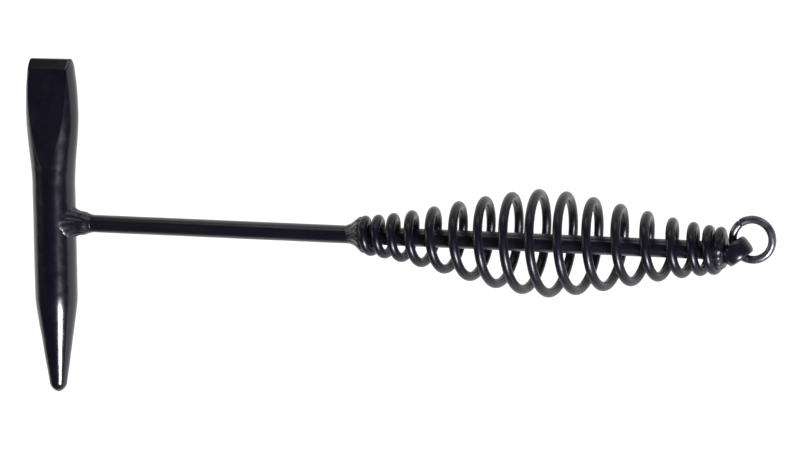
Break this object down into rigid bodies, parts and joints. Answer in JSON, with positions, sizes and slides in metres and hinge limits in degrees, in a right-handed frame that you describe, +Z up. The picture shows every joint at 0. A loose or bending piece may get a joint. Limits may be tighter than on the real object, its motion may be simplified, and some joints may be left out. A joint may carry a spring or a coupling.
{
  "type": "welder's chipping hammer",
  "caption": "Chipping hammer with a chisel and point head on a round shank, a barrel-shaped coil-spring handle and a loose hanging ring.",
  "frame": {"origin": "centre of the tool's bounding box in plan, on the surface that it lies on", "axes": "+X along the handle from head to tail, +Y along the head towards the chisel, +Z up; the shank rises 3.4 degrees towards the tail, because the tool rests on its head and on the belly of its handle"},
  "size_m": [0.3018, 0.133, 0.0411],
  "materials": {
    "forged_black": "gloss black enamel over a forged surface",
    "shank_black": "gloss black enamel on drawn bar",
    "spring_black": "gloss black enamel on spring wire",
    "weld_black": "black enamel over a rippled weld bead",
    "ring_steel": "dark blackened steel wire, worn bright"
  },
  "bodies": {
    "hammer": {"head": "forged_black", "shank": "shank_black", "handle_spring": "spring_black", "head_weld": "weld_black", "front_weld": "weld_black", "rear_weld": "weld_black"},
    "ring": {"hanging_ring": "ring_steel"}
  },
  "joints": [
    {"name": "ring_swing", "type": "hinge", "parent": "hammer", "child": "ring", "pos_m": [0.13624, 0.0017, 0.02495], "axis": [-0.6146, 0.788, -0.0366], "range_deg": [-55, 55]}
  ]
}
